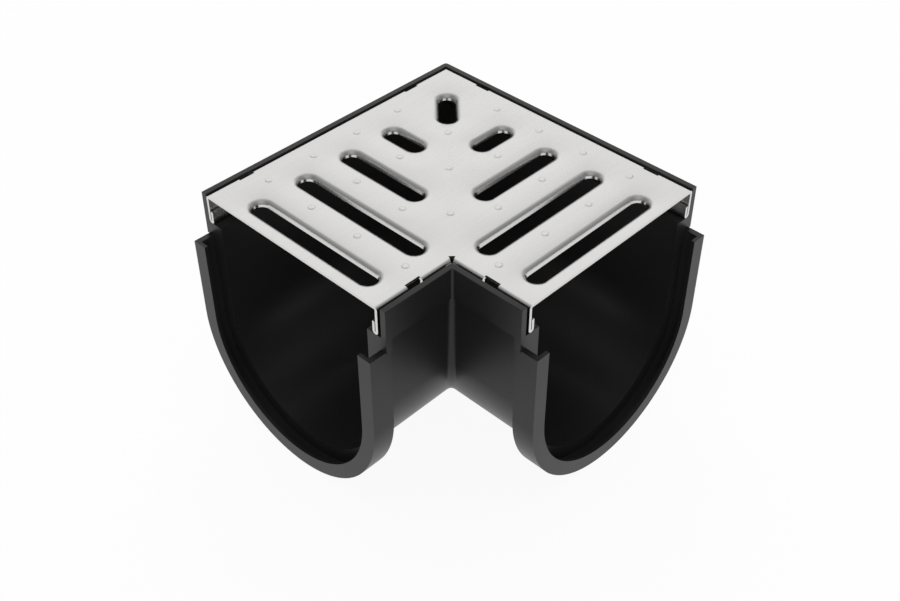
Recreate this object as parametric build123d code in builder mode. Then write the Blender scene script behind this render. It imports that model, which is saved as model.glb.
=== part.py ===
"""Right-angle corner of a round-bottomed surface drain, with its folded slotted grate.

Two pieces: a moulded channel corner with a socket collar on each leg, and a grate folded
from one stainless sheet that drops onto the seat ledge inside the rim.
Millimetres, +Z up, origin at the middle of the footprint on the ground.
Each leg is drawn along +X from the rim's outer corner and mirrored about the corner's diagonal.
"""

import os
from math import cos, radians, sin, sqrt

from build123d import *

# Channel across one leg
rim_width = 130.0
rim_wall = 3.2
rim_edge_radius = 0.4
seat_depth = 16.8
ledge_thickness = 2.6
block_chamfer = 1.7
channel_radius = 52.6
channel_wall = 2.8
overall_height = 135.2

# Channel along one leg, from the rim's outer corner
leg_length = 172.5
end_flange_thickness = 3.7
end_flange_depth = 25.0

# Socket collar that takes the next channel's plain end
collar_length = 9.3
collar_wall = 3.2
groove_depth = 5.3
lip_thickness = 2.0
plug_clearance = 0.25

# Corners of the moulding
outer_corner_radius = 2.0
inner_corner_radius = 1.3
crease_radius = 3.5
crease_run_out = 2.5

# Recess in the lower edge of the rim, on the inner side of each leg
recess_start = 134.5
recess_slope = 9.0
recess_length = 19.0
recess_height = 4.4

# Grate sheet
outer_clearance = 0.2
inner_clearance = 1.95
grate_drop = 0.45
sheet = 1.5
bend_radius = 1.9
hem_radius = 1.7
hem_thickness = 3.5
hem_return = 7.2

# Slots with rolled lips
slot_pitch = 29.82
last_slot_setback = 12.25
shortest_slot = 20.0
slot_width = 9.4
slot_outer_margin = 25.75
slot_inner_margin = 19.05
slot_diagonal_margin = 19.7
lip_roll = 2.8
lip_depth = 3.4
lip_steps = 4
corner_slot_length = 26.95
corner_slot_middle = 47.6

# Raised studs
stud_diameter = 4.0
stud_crown = 3.0
stud_height = 0.3
stud_sides = 12
stud_margin = 16.0
stud_inner_margin = 17.0
stud_columns = 4
stud_offset = 17.05
stud_diagonal_margin = 20.0
diagonal_studs = (50.4, 73.3)
inner_stud_setback = 29.9

# Notches and corner reliefs of the folded sheet
notch_length = 9.1
notch_inset = 2.5
notch_depth = 4.0
notch_setback = 19.45
corner_notch_start = 28.5
apex_notch = 0.9
apex_slit = 0.8
flange_cutback = 0.8
relief_depth = 2.9
relief_shoulder = 0.5

# Sizes that follow
channel_outside = channel_radius + channel_wall
groove_radius = channel_outside + groove_depth
collar_radius = groove_radius + collar_wall
lip_radius = channel_outside + plug_clearance
bowl_height = collar_radius
reach = leg_length + collar_length
corner = -reach / 2
ledge_underside = seat_depth + ledge_thickness
grate_edge = rim_wall + outer_clearance
grate_inner_edge = rim_width - rim_wall - inner_clearance
slot_half = slot_width / 2
slot_bend = slot_half + lip_roll
stud_pitch = (rim_width - stud_margin - stud_inner_margin) / (stud_columns - 1)

diagonal = Plane(origin=(corner, corner, 0), z_dir=(1, -1, 0))


def across(distance: float) -> Plane:
    """Plane across the leg that runs along X; its origin is on the ground below the leg's axis."""
    return Plane(origin=(corner + distance, corner + rim_width / 2, 0), x_dir=(0, 1, 0), z_dir=(1, 0, 0))


def plan(depth: float) -> Plane:
    """Horizontal plane below the rim's top; its origin is at the rim's outer corner."""
    return Plane(origin=(corner, corner, overall_height - depth))


def along(distance: float) -> Plane:
    """Upright plane along the leg that runs along X; depths below the rim's top are drawn on it."""
    return Plane(origin=(corner, corner + distance, overall_height), x_dir=(1, 0, 0), z_dir=(0, 1, 0))


def trough(radius: float, depth: float, mode: Mode = Mode.ADD) -> None:
    """Round-bottomed section with upright sides that reach up to a depth below the rim."""
    top = overall_height - depth
    with BuildLine() as outline:
        Polyline((-radius, bowl_height), (-radius, top), (radius, top), (radius, bowl_height))
        ThreePointArc((radius, bowl_height), (0, bowl_height - radius), (-radius, bowl_height))
    make_face(outline.edges(), mode=mode)


def corner_plan(inset: float, end: float) -> None:
    """Plan of both legs, inset from the rim's outside and cut square at their ends."""
    inner = rim_width - inset
    outer_leg = [(inset, end), (inset, inset), (end, inset)]
    inner_leg = [(end, inner), (inner, inner), (inner, end)]
    Polygon(*outer_leg, *inner_leg, align=None)


# Outside of the bowl on both legs, with the crease at the inner corner rounded
with BuildPart() as bowl:
    with BuildSketch(across(0)):
        trough(channel_outside, seat_depth)
    extrude(amount=leg_length)
    split(bisect_by=diagonal)
    mirror(about=diagonal)

with BuildPart() as creased_bowl:
    add(bowl.part)
    run_out = Plane.XY.offset(bowl_height - channel_outside + crease_run_out)
    split(bisect_by=run_out)
    on_diagonal = creased_bowl.edges().filter_by(lambda edge: round(edge.center().X - edge.center().Y) == 0)
    crease = on_diagonal.filter_by(lambda edge: edge.center().X > corner + rim_width / 2)
    fillet(crease.filter_by(lambda edge: edge.center().Z < overall_height - seat_depth), crease_radius)
    add(bowl.part)

# Water way and rim recess that are taken out of each leg
with BuildPart() as hollow:
    with BuildSketch(across(0)):
        trough(channel_radius, 0)
    extrude(amount=leg_length)
    chamfer_top = ledge_underside - block_chamfer
    recess_top = ledge_underside - recess_height
    with BuildSketch(along(rim_width)):
        recess_end = recess_start + recess_length
        Polygon(
            (recess_start, chamfer_top),
            (recess_start + recess_slope, recess_top),
            (recess_end, recess_top),
            (recess_end, ledge_underside),
            (recess_start, ledge_underside),
            align=None,
        )
    extrude(amount=-block_chamfer)
    split(bisect_by=diagonal)
    mirror(about=diagonal)

# End flange and socket collar of each leg
with BuildPart() as socket:
    with BuildSketch(across(leg_length)):
        trough(collar_radius, end_flange_depth)
        with Locations((0, overall_height)):
            block_end = Rectangle(rim_width, end_flange_depth, align=(Align.CENTER, Align.MAX))
        fillet(block_end.vertices().group_by(Axis.Y)[-1], rim_edge_radius)
    extrude(amount=-end_flange_thickness)
    with BuildSketch(across(leg_length)):
        trough(collar_radius, end_flange_depth)
        trough(groove_radius, end_flange_depth, Mode.SUBTRACT)
    extrude(amount=collar_length)
    with BuildSketch(across(reach)):
        trough(collar_radius, end_flange_depth)
        trough(lip_radius, end_flange_depth, Mode.SUBTRACT)
    extrude(amount=-lip_thickness)
    mirror(about=diagonal)

# Channel corner
with BuildPart() as channel_corner:
    with BuildSketch(plan(ledge_underside)):
        corner_plan(0, leg_length)
    extrude(amount=ledge_underside)
    uprights = channel_corner.edges().filter_by(Axis.Z)
    fillet(uprights.sort_by_distance((corner, corner, 0))[0], outer_corner_radius)
    middle = corner + rim_width
    fillet(uprights.sort_by_distance((middle, middle, 0))[0], inner_corner_radius)
    sides = channel_corner.edges().filter_by(
        lambda edge: max(edge.center().X, edge.center().Y) < corner + leg_length - rim_edge_radius
    )
    fillet(sides.group_by(Axis.Z)[-1], rim_edge_radius)
    chamfer(sides.group_by(Axis.Z)[0], block_chamfer)
    add(creased_bowl.part)
    add(socket.part)
    add(hollow.part, mode=Mode.SUBTRACT)
    with BuildSketch(plan(seat_depth)):
        corner_plan(rim_wall, leg_length)
    extrude(amount=seat_depth, mode=Mode.SUBTRACT)

# Folded sheet of both legs: top, flanges and the hems that turn in and up
seat = overall_height - seat_depth
sheet_top = overall_height - grate_drop
outer_side = grate_edge - rim_width / 2
inner_side = grate_inner_edge - rim_width / 2
with BuildPart() as folded_sheet:
    with BuildSketch(across(0)) as section:
        with BuildLine():
            Polyline(
                (outer_side + hem_thickness, seat + hem_return),
                (outer_side + hem_thickness, seat),
                (outer_side, seat),
                (outer_side, sheet_top),
                (inner_side, sheet_top),
                (inner_side, seat),
                (inner_side - hem_thickness, seat),
                (inner_side - hem_thickness, seat + hem_return),
            )
            offset(amount=sheet, side=Side.RIGHT, kind=Kind.INTERSECTION)
        make_face()
        for level, thinner in enumerate((0, sheet)):
            fillet(section.vertices().group_by(Axis.Y)[level], hem_radius - thinner)
            fillet(section.vertices().group_by(Axis.Y)[-1 - level], bend_radius - thinner)
    extrude(amount=leg_length)
    split(bisect_by=diagonal)
    mirror(about=diagonal)

# Slots as x and y of the middle, length and turn, and studs as x and y
slot_step = corner_slot_middle / sqrt(2)
slots = [(slot_step, slot_step, corner_slot_length, 45)]
inner_stud = rim_width - inner_stud_setback
studs = [(distance, distance) for distance in (*diagonal_studs, inner_stud)]
slot_x = leg_length - last_slot_setback
slot_end = min(rim_width - slot_inner_margin, slot_x - slot_diagonal_margin)
while slot_end - slot_outer_margin > shortest_slot:
    slot_middle = (slot_outer_margin + slot_end) / 2
    slots.append((slot_x, slot_middle, slot_end - slot_outer_margin, 90))
    slots.append((slot_middle, slot_x, slot_end - slot_outer_margin, 0))
    stud_x = slot_x - stud_offset
    for column in range(stud_columns):
        stud_y = stud_margin + column * stud_pitch
        if stud_y < stud_x - stud_diagonal_margin:
            studs.append((stud_x, stud_y))
            studs.append((stud_y, stud_x))
    slot_x = slot_x - slot_pitch
    slot_end = min(rim_width - slot_inner_margin, slot_x - slot_diagonal_margin)


def lip_section() -> None:
    """Rolled lip beside a slot, down from the sheet's top in steps round the bend."""
    turns = [radians(90 * step / lip_steps) for step in range(lip_steps)]
    roll = [(slot_bend - lip_roll * sin(turn), lip_roll * (cos(turn) - 1)) for turn in turns]
    behind = slot_half + sheet
    inner_bend = (2 - sqrt(2)) * (lip_roll - sheet)
    Polygon(
        *roll,
        (slot_half, -lip_depth),
        (behind, -lip_depth),
        (behind, -sheet - inner_bend),
        (behind + inner_bend, -sheet),
        (slot_bend, -sheet),
        align=None,
    )


def rolled_lip(length: float) -> Part:
    """Lip all round a slot that lies along X at the origin, with the sheet's top at zero."""
    middle = length / 2 - slot_half
    side = Plane(origin=(middle, 0, 0), x_dir=(0, 1, 0), z_dir=(1, 0, 0))
    with BuildPart() as lip:
        with BuildSketch(side):
            lip_section()
        extrude(amount=-2 * middle)
        with BuildSketch(side):
            lip_section()
        revolve(axis=Axis((middle, 0, 0), (0, 0, -1)), revolution_arc=180)
        add(lip.part, rotation=(0, 0, 180))
    return lip.part


lips = [(rolled_lip(length), x, y, turn) for x, y, length, turn in slots]

# Low stud, drawn at the origin with few sides because it repeats
with BuildPart() as stud:
    with BuildSketch():
        RegularPolygon(stud_diameter / 2, stud_sides)
    with BuildSketch(Plane.XY.offset(stud_height)):
        RegularPolygon(stud_crown / 2, stud_sides)
    loft(ruled=True)

# Cut back of the inner flange at the corner, so that it unfolds clear of its neighbour
cut_depth = grate_drop + bend_radius
cut_start = grate_inner_edge + flange_cutback
with BuildPart() as cutback:
    with BuildSketch(along(grate_inner_edge)):
        Polygon(
            (grate_inner_edge - hem_thickness, cut_depth),
            (cut_start, cut_depth),
            (cut_start + seat_depth - cut_depth, seat_depth),
            (grate_inner_edge - hem_thickness, seat_depth),
            align=None,
        )
    extrude(amount=-hem_thickness)
    mirror(about=diagonal)

# Slotted grate
with BuildPart() as slotted_grate:
    add(folded_sheet.part)

    # Slots, opened up to the bend and then filled in by their rolled lips
    with BuildSketch(plan(grate_drop + sheet)):
        for x, y, length, turn in slots:
            with Locations((x, y)):
                SlotOverall(length + 2 * lip_roll, 2 * slot_bend, rotation=turn)
    extrude(amount=sheet, mode=Mode.SUBTRACT)
    for lip, x, y, turn in lips:
        with Locations(Location((corner + x, corner + y, sheet_top), (0, 0, turn))):
            add(lip)
    with Locations(*[(corner + x, corner + y, sheet_top) for x, y in studs]):
        add(stud.part)

    # Notches in the bends and the reliefs at both corners
    with BuildSketch(plan(grate_drop + notch_depth)):
        outer = grate_edge + notch_inset
        inner = grate_inner_edge - notch_inset
        end = leg_length - notch_setback
        for x, y, align_y in (
            (end - notch_length, outer, Align.MAX),
            (end - notch_length, inner, Align.MIN),
            (corner_notch_start, outer, Align.MAX),
        ):
            with Locations((x, y)):
                Rectangle(notch_length, 2 * notch_inset, align=(Align.MIN, align_y))
        mirror(about=Plane(origin=(0, 0, 0), z_dir=(1, -1, 0)))
    extrude(amount=notch_depth, mode=Mode.SUBTRACT)
    add(cutback.part, mode=Mode.SUBTRACT)
    with BuildSketch(plan(seat_depth)):
        Polygon(
            (grate_inner_edge - relief_shoulder, grate_inner_edge - relief_depth),
            (cut_start, grate_inner_edge),
            (cut_start, cut_start),
            (grate_inner_edge, cut_start),
            (grate_inner_edge - relief_depth, grate_inner_edge - relief_shoulder),
            align=None,
        )
        with Locations(Location((grate_edge, grate_edge), 45)):
            Rectangle(2 * sqrt(2) * apex_notch, apex_slit)
    extrude(amount=seat_depth, mode=Mode.SUBTRACT)
    with BuildSketch(plan(seat_depth)):
        with Locations(Location((grate_edge, grate_edge), 45)):
            Rectangle(2 * sqrt(2) * (hem_thickness + sheet), apex_slit)
    extrude(amount=seat_depth - cut_depth, mode=Mode.SUBTRACT)

channel_corner.part.label = "channel_corner"
slotted_grate.part.label = "slotted_grate"

os.makedirs("parts", exist_ok=True)
export_step(channel_corner.part, "parts/channel_corner.step")
export_step(slotted_grate.part, "parts/slotted_grate.step")
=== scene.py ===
"""Finish and studio for the corner of a round-bottomed drain channel with its folded slotted grate.

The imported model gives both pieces. This script welds a display copy of each, gives the channel a
moulded black plastic and the grate a brushed stainless finish, and sets a plain white studio.
"""

import logging
from dataclasses import dataclass
from enum import Enum
from math import radians, sqrt

import bmesh
import bpy
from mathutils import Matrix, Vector


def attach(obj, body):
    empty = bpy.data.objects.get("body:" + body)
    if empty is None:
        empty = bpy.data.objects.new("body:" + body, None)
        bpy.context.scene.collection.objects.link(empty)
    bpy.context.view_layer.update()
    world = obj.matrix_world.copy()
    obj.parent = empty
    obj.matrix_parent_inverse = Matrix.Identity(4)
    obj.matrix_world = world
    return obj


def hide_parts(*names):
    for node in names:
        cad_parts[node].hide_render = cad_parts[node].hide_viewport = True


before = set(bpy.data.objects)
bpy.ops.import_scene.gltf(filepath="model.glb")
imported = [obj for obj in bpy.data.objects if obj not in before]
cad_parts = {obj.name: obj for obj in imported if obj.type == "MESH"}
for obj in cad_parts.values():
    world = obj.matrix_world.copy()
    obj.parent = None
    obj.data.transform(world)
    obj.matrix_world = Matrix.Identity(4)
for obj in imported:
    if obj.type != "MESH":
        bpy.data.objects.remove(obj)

logging.basicConfig(level=logging.INFO, format="%(name)s: %(message)s")
LOG = logging.getLogger("drain_corner")

Colour = tuple[float, float, float]
Point = tuple[float, float, float]
Ramp = tuple[float, float, float, float]

WHITE = (1.0, 1.0, 1.0, 1.0)
# A Mix node has sockets of the same name for each kind of data, so its colours go by place.
MIX_LOW, MIX_HIGH, MIX_RESULT = 6, 7, 2


class Brushing(Enum):
    """Direction of the brushed lines on a sheet, as the axis they run along."""

    ALONG_X = 0
    ALONG_Y = 1


class Value:
    """A number that a shader node gives, so that shader maths can be written as an expression."""

    def __init__(self, owner: "NodeTree", socket: bpy.types.NodeSocket) -> None:
        """Wraps one output socket of a tree."""
        self.owner = owner
        self.socket = socket

    def _math(self, operation: str, first: object, second: object) -> "Value":
        """The result of a Math node on two values or numbers."""
        return self.owner.node("ShaderNodeMath", {"operation": operation}, {0: first, 1: second})

    def __add__(self, other: object) -> "Value":
        """The sum of this and another value."""
        return self._math("ADD", self, other)

    __radd__ = __add__

    def __sub__(self, other: object) -> "Value":
        """This value less another."""
        return self._math("SUBTRACT", self, other)

    def __rsub__(self, other: object) -> "Value":
        """Another value less this one."""
        return self._math("SUBTRACT", other, self)

    def __mul__(self, other: object) -> "Value":
        """The product of this and another value."""
        return self._math("MULTIPLY", self, other)

    __rmul__ = __mul__


class NodeTree:
    """A node tree, with one way to add nodes to it."""

    def __init__(self, tree: bpy.types.NodeTree) -> None:
        """Takes the existing tree of a material or a world."""
        self.tree = tree

    def plug(self, socket: bpy.types.NodeSocket, value: object) -> None:
        """Links a value to an input socket, or sets the socket to a constant.

        Args:
            socket: The input socket.
            value: A number, a tuple or a value.
        """
        if isinstance(value, Value):
            self.tree.links.new(value.socket, socket)
        else:
            socket.default_value = value

    def node(
        self, kind: str, settings: dict[str, object], inputs: dict[object, object], output: int | str = 0
    ) -> Value:
        """Adds any node.

        Args:
            kind: The node's type.
            settings: Properties of the node, set before its sockets.
            inputs: Numbers, tuples or values for its sockets, by name or place.
            output: The output that is handed back, by name or place.

        Returns:
            The chosen output.
        """
        made = self.tree.nodes.new(kind)
        for key, setting in settings.items():
            setattr(made, key, setting)
        for key, value in inputs.items():
            self.plug(made.inputs[key], value)
        return Value(self, made.outputs[output])

    def ramp(self, value: Value, ends: Ramp) -> Value:
        """Maps the range between the first two ends to the last two, and holds it outside them."""
        return self.node("ShaderNodeMapRange", {}, {0: value, **dict(enumerate(ends, 1))})

    def vector(self, operation: str, first: object, second: object, output: int | str = 0) -> Value:
        """The result of a Vector Math node on two vector values or tuples."""
        return self.node("ShaderNodeVectorMath", {"operation": operation}, {0: first, 1: second}, output)


class FinishTree(NodeTree):
    """A material's node tree with a Principled shader."""

    def __init__(self, name: str) -> None:
        """Makes a material with only its shader.

        Args:
            name: The material's name.
        """
        self.material = bpy.data.materials.new(name)
        self.material.use_nodes = True
        super().__init__(self.material.node_tree)
        self.shader = self.tree.nodes["Principled BSDF"]

    def place(self) -> Value:
        """Coordinates of the piece itself, in metres."""
        return self.node("ShaderNodeTexCoord", {}, {}, "Object")

    def stretched(self, scale: Point) -> Value:
        """Coordinates of the piece, scaled along X, Y and Z."""
        return self.node("ShaderNodeMapping", {}, {"Vector": self.place(), "Scale": scale})

    def noise(self, where: Value, scale: float, octaves: float = 3.0, fineness: float = 0.6) -> Value:
        """Smooth noise between 0 and 1, with as many patches per metre as the scale."""
        inputs = {"Vector": where, "Scale": scale, "Detail": octaves, "Roughness": fineness}
        return self.node("ShaderNodeTexNoise", {}, inputs)

    def mix(self, factor: object, low: Colour, high: Colour) -> Value:
        """Blends two colours: a factor of 0 gives the first and 1 the second."""
        inputs = {0: factor, MIX_LOW: (*low, 1.0), MIX_HIGH: (*high, 1.0)}
        return self.node("ShaderNodeMix", {"data_type": "RGBA", "clamp_factor": True}, inputs, MIX_RESULT)

    def bump(self, height: Value, distance: float) -> Value:
        """A normal that follows a height, of which 1 stands for the distance in metres."""
        return self.node("ShaderNodeBump", {}, {"Height": height, "Distance": distance, "Strength": 1.0})

    def feed(self, socket: str, value: object) -> None:
        """Sets or links a socket of the Principled shader."""
        self.plug(self.shader.inputs[socket], value)


@dataclass(frozen=True)
class MouldedPlastic:
    """Black injection-moulded plastic with a fine, slightly satin skin."""

    base: Colour = (0.0225, 0.0225, 0.0230)
    bloom: Colour = (0.0280, 0.0280, 0.0285)
    specular: float = 0.30
    roughness: float = 0.36
    flow_roughness: float = 0.10
    grain_roughness: float = 0.04
    grain_size: float = 0.0006
    grain_height: float = 0.000006
    flow_size: float = 0.03
    flow_fineness: float = 0.55

    def material(self) -> bpy.types.Material:
        """Builds the material.

        Returns:
            The finished material.
        """
        finish = FinishTree("moulded_black_plastic")
        where = finish.place()
        grain = finish.noise(where, 1 / self.grain_size)
        flow = finish.noise(where, 1 / self.flow_size, fineness=self.flow_fineness)
        finish.feed("Base Color", finish.mix(flow, self.base, self.bloom))
        smoothest = self.roughness - (self.flow_roughness + self.grain_roughness) / 2
        finish.feed("Roughness", flow * self.flow_roughness + grain * self.grain_roughness + smoothest)
        finish.feed("Specular IOR Level", self.specular)
        finish.feed("Normal", finish.bump(grain, self.grain_height))
        return finish.material


@dataclass(frozen=True)
class SlotDish:
    """Shallow dish that the press leaves in the sheet round each slot, in metres.

    Places are measured along and across a leg from the rim's outer corner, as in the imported
    model. Both legs share them, because the finish folds the sheet about its diagonal.
    """

    rim_corner: float = -0.0909
    pitch: float = 0.02982
    last_slot: float = 0.16025
    slots: int = 4
    outer_end: float = 0.02575
    inner_end: float = 0.11095
    diagonal_margin: float = 0.0197
    half_width: float = 0.0047
    corner_middle: float = 0.03366
    corner_length: float = 0.02695
    spread: float = 0.018
    depth: float = 0.0014

    def segments(self) -> list[tuple[Point, Point]]:
        """The middle line of each slot on one leg and of the slot at the corner.

        Returns:
            Start and end of each middle line.
        """
        ends = []
        start = self.outer_end + self.half_width
        for count in range(self.slots):
            along = self.last_slot - count * self.pitch
            end = min(self.inner_end, along - self.diagonal_margin) - self.half_width
            ends.append(((along, start), (along, end)))
        half = (self.corner_length / 2 - self.half_width) / sqrt(2)
        near, far = self.corner_middle - half, self.corner_middle + half
        ends.append(((near, near), (far, far)))
        return [tuple((x + self.rim_corner, y + self.rim_corner, 0.0) for x, y in line) for line in ends]

    def height(self, finish: FinishTree) -> Value:
        """Height of the sheet, lower towards each slot.

        Args:
            finish: The tree to build in.

        Returns:
            The sum of all the dishes, from about -1 at a slot to 0 far from it.
        """
        parts = [finish.node("ShaderNodeSeparateXYZ", {}, {0: finish.place()}, axis) for axis in "XY"]
        larger = finish.node("ShaderNodeMath", {"operation": "MAXIMUM"}, dict(enumerate(parts)))
        smaller = finish.node("ShaderNodeMath", {"operation": "MINIMUM"}, dict(enumerate(parts)))
        where = finish.node("ShaderNodeCombineXYZ", {}, {0: larger, 1: smaller})
        total: Value | float = 0.0
        for start, end in self.segments():
            line = Vector(end) - Vector(start)
            away = finish.vector("SUBTRACT", where, start)
            share = finish.vector("DOT_PRODUCT", away, line / line.length_squared, "Value")
            held = finish.ramp(share, (0.0, 1.0, 0.0, 1.0))
            nearest = finish.node("ShaderNodeVectorMath", {"operation": "SCALE"}, {0: line, "Scale": held})
            gap = finish.vector("DISTANCE", away, nearest, "Value")
            fall = finish.ramp(gap, (self.half_width, self.half_width + self.spread, 1.0, 0.0))
            total = total - fall * fall
        return total


@dataclass(frozen=True)
class BrushedSteel:
    """Brushed stainless sheet with fine lines, faint clouds and a soft sheen."""

    light: Colour = (0.71, 0.705, 0.697)
    dark: Colour = (0.63, 0.625, 0.618)
    line_share: float = 0.2
    streak_share: float = 0.5
    cloud_share: float = 0.3
    roughness: float = 0.27
    line_roughness: float = 0.08
    cloud_roughness: float = 0.06
    direction: Brushing = Brushing.ALONG_X
    line_width: float = 0.0004
    line_length: float = 0.04
    line_height: float = 0.0000016
    streak_width: float = 0.0022
    streak_length: float = 0.07
    cloud_size: float = 0.022
    dish: SlotDish = SlotDish()

    def brushed(self, finish: FinishTree, width: float, length: float) -> Value:
        """Lines that are long one way and fine the other.

        Args:
            finish: The tree to build in.
            width: Width of a line.
            length: Length of a line.

        Returns:
            The lines' height, from 0 to 1.
        """
        scale = [1 / width] * 3
        scale[self.direction.value] = 1 / length
        return finish.noise(finish.stretched(tuple(scale)), 1.0)

    def material(self) -> bpy.types.Material:
        """Builds the material.

        Returns:
            The finished material.
        """
        finish = FinishTree("brushed_stainless_sheet")
        lines = self.brushed(finish, self.line_width, self.line_length)
        streaks = self.brushed(finish, self.streak_width, self.streak_length)
        clouds = finish.noise(finish.place(), 1 / self.cloud_size)
        shade = lines * self.line_share + streaks * self.streak_share + clouds * self.cloud_share
        finish.feed("Base Color", finish.mix(shade, self.dark, self.light))
        finish.feed("Metallic", 1.0)
        smoothest = self.roughness - (self.line_roughness + self.cloud_roughness) / 2
        finish.feed("Roughness", lines * self.line_roughness + clouds * self.cloud_roughness + smoothest)
        relief = self.dish.height(finish) * self.dish.depth + lines * self.line_height
        finish.feed("Normal", finish.bump(relief, 1.0))
        return finish.material


@dataclass
class DressedPiece:
    """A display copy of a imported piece, welded so that its curves shade smoothly."""

    node: str
    name: str
    slot: str
    material: bpy.types.Material
    crease_angle: float = radians(28)
    stud_foot: float | None = None
    stud_slope: tuple[float, float] = (radians(20), radians(50))
    level_tolerance: float = 0.00002
    weld: float = 0.000001

    def outline_studs(self) -> None:
        """Keeps the foot of each stud crisp, so that its crown shades round and the sheet flat."""
        bpy.ops.object.mode_set(mode="EDIT")
        shape = bmesh.from_edit_mesh(bpy.context.edit_object.data)
        for edge in shape.edges:
            level = all(abs(corner.co.z - self.stud_foot) < self.level_tolerance for corner in edge.verts)
            turn = edge.calc_face_angle(0.0)
            edge.select_set(level and self.stud_slope[0] < turn < self.stud_slope[1])
        bpy.ops.mesh.mark_sharp()
        bpy.ops.object.mode_set(mode="OBJECT")

    def build(self) -> bpy.types.Object:
        """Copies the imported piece, welds it and gives it its material.

        Returns:
            The display copy.
        """
        bpy.ops.object.select_all(action="DESELECT")
        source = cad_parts[self.node]
        piece = bpy.data.objects.new(self.name, source.data.copy())
        piece.data.name = self.name
        bpy.context.scene.collection.objects.link(piece)
        bpy.context.view_layer.objects.active = piece
        piece.select_set(True)
        bpy.ops.object.mode_set(mode="EDIT")
        bpy.ops.mesh.select_all(action="SELECT")
        bpy.ops.mesh.remove_doubles(threshold=self.weld)
        bpy.ops.object.mode_set(mode="OBJECT")
        if piece.data.has_custom_normals:
            bpy.ops.mesh.customdata_custom_splitnormals_clear()
        bpy.ops.object.shade_smooth_by_angle(angle=self.crease_angle)
        if self.stud_foot is not None:
            self.outline_studs()
        bpy.ops.object.modifier_add(type="WEIGHTED_NORMAL")
        piece.modifiers[-1].keep_sharp = True
        bpy.ops.object.modifier_apply(modifier=piece.modifiers[-1].name)
        for mesh in (piece.data, source.data):
            mesh.materials.clear()
            mesh.materials.append(self.material)
        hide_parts(self.node)
        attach(piece, "root")
        LOG.info("%s stands for %s with %d faces", self.name, self.node, len(piece.data.polygons))
        return piece


@dataclass
class Studio:
    """White floor, even light and the camera at the photograph's place."""

    eye: Point = (0.354893, 0.341981, 0.495267)
    aim: Point = (0.028432, 0.027376, 0.102270)
    lens: float = 49.81
    sensor: float = 36.0
    clip_start: float = 0.01
    floor_size: float = 6.0
    floor_colour: Colour = (0.9, 0.9, 0.9)
    floor_roughness: float = 0.9
    floor_glow: float = 0.88
    floor_white: float = 1.06
    light_side: Point = (-1.0, -1.0, 0.0)
    light_across: Point = (-1.0, 1.0, 0.0)
    height_ramp: Ramp = (-0.05, 0.3, 0.35, 1.0)
    behind_ramp: Ramp = (-0.2, 0.9, 0.5, 1.12)
    aside_ramp: Ramp = (0.2, 0.7, 1.0, 0.55)

    def camera(self) -> None:
        """Creates the camera and makes it the scene's own."""
        data = bpy.data.cameras.new("photograph_view")
        data.lens = self.lens
        data.sensor_width = self.sensor
        data.clip_start = self.clip_start
        camera = bpy.data.objects.new("photograph_view", data)
        camera.location = self.eye
        ahead = Vector(self.aim) - Vector(self.eye)
        camera.rotation_euler = ahead.to_track_quat("-Z", "Y").to_euler()
        bpy.context.scene.collection.objects.link(camera)
        bpy.context.scene.camera = camera

    def floor(self) -> None:
        """Lays the white floor, which shows as plain white and keeps the object's shadow."""
        bpy.ops.object.select_all(action="DESELECT")
        bpy.ops.mesh.primitive_plane_add(size=self.floor_size, location=(0, 0, 0))
        floor = bpy.context.object
        floor.name = "studio_floor"
        finish = FinishTree("white_floor")
        finish.feed("Base Color", (*self.floor_colour, 1.0))
        finish.feed("Roughness", self.floor_roughness)
        camera_ray = finish.node("ShaderNodeLightPath", {}, {}, "Is Camera Ray")
        glossy_ray = finish.node("ShaderNodeLightPath", {}, {}, "Is Glossy Ray")
        seen = (camera_ray + glossy_ray) * self.floor_glow
        shaded = Value(finish, finish.shader.outputs[0])
        glow = finish.node("ShaderNodeEmission", {}, {"Strength": self.floor_white})
        surface = finish.node("ShaderNodeMixShader", {}, {0: seen, 1: shaded, 2: glow})
        finish.plug(finish.tree.nodes["Material Output"].inputs["Surface"], surface)
        floor.data.materials.append(finish.material)

    def world(self) -> None:
        """Sets a soft surround, brightest behind the object, dimmer low down, aside and in front."""
        surround = bpy.data.worlds.new("soft_surround")
        surround.use_nodes = True
        bpy.context.scene.world = surround
        sky = NodeTree(surround.node_tree)
        direction = sky.node("ShaderNodeTexCoord", {}, {}, "Generated")
        height = sky.node("ShaderNodeSeparateXYZ", {}, {0: direction}, "Z")
        behind = sky.vector("DOT_PRODUCT", direction, Vector(self.light_side).normalized(), "Value")
        across = sky.vector("DOT_PRODUCT", direction, Vector(self.light_across).normalized(), "Value")
        aside = sky.node("ShaderNodeMath", {"operation": "ABSOLUTE"}, {0: across})
        light = sky.ramp(height, self.height_ramp) * sky.ramp(behind, self.behind_ramp)
        light = light * sky.ramp(aside, self.aside_ramp)
        camera_ray = sky.node("ShaderNodeLightPath", {}, {}, "Is Camera Ray")
        shown = sky.node("ShaderNodeMath", {"operation": "MAXIMUM"}, {0: light, 1: camera_ray})
        background = sky.tree.nodes["Background"]
        sky.plug(background.inputs["Color"], WHITE)
        sky.plug(background.inputs["Strength"], shown)

    def build(self) -> None:
        """Builds the floor, the light and the camera."""
        self.floor()
        self.world()
        self.camera()
        bpy.context.scene.view_settings.view_transform = "Standard"
        LOG.info("studio is set")


def main() -> None:
    """Builds every piece in order."""
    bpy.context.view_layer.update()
    channel = DressedPiece("channel_corner", "channel_shell", "channel_plastic", MouldedPlastic().material())
    grate = DressedPiece(
        "slotted_grate",
        "grate_sheet",
        "grate_steel",
        BrushedSteel().material(),
        crease_angle=radians(38),
        stud_foot=0.13475,
    )
    for piece in (channel, grate):
        piece.build()
    Studio().build()


if __name__ == "__main__":
    main()
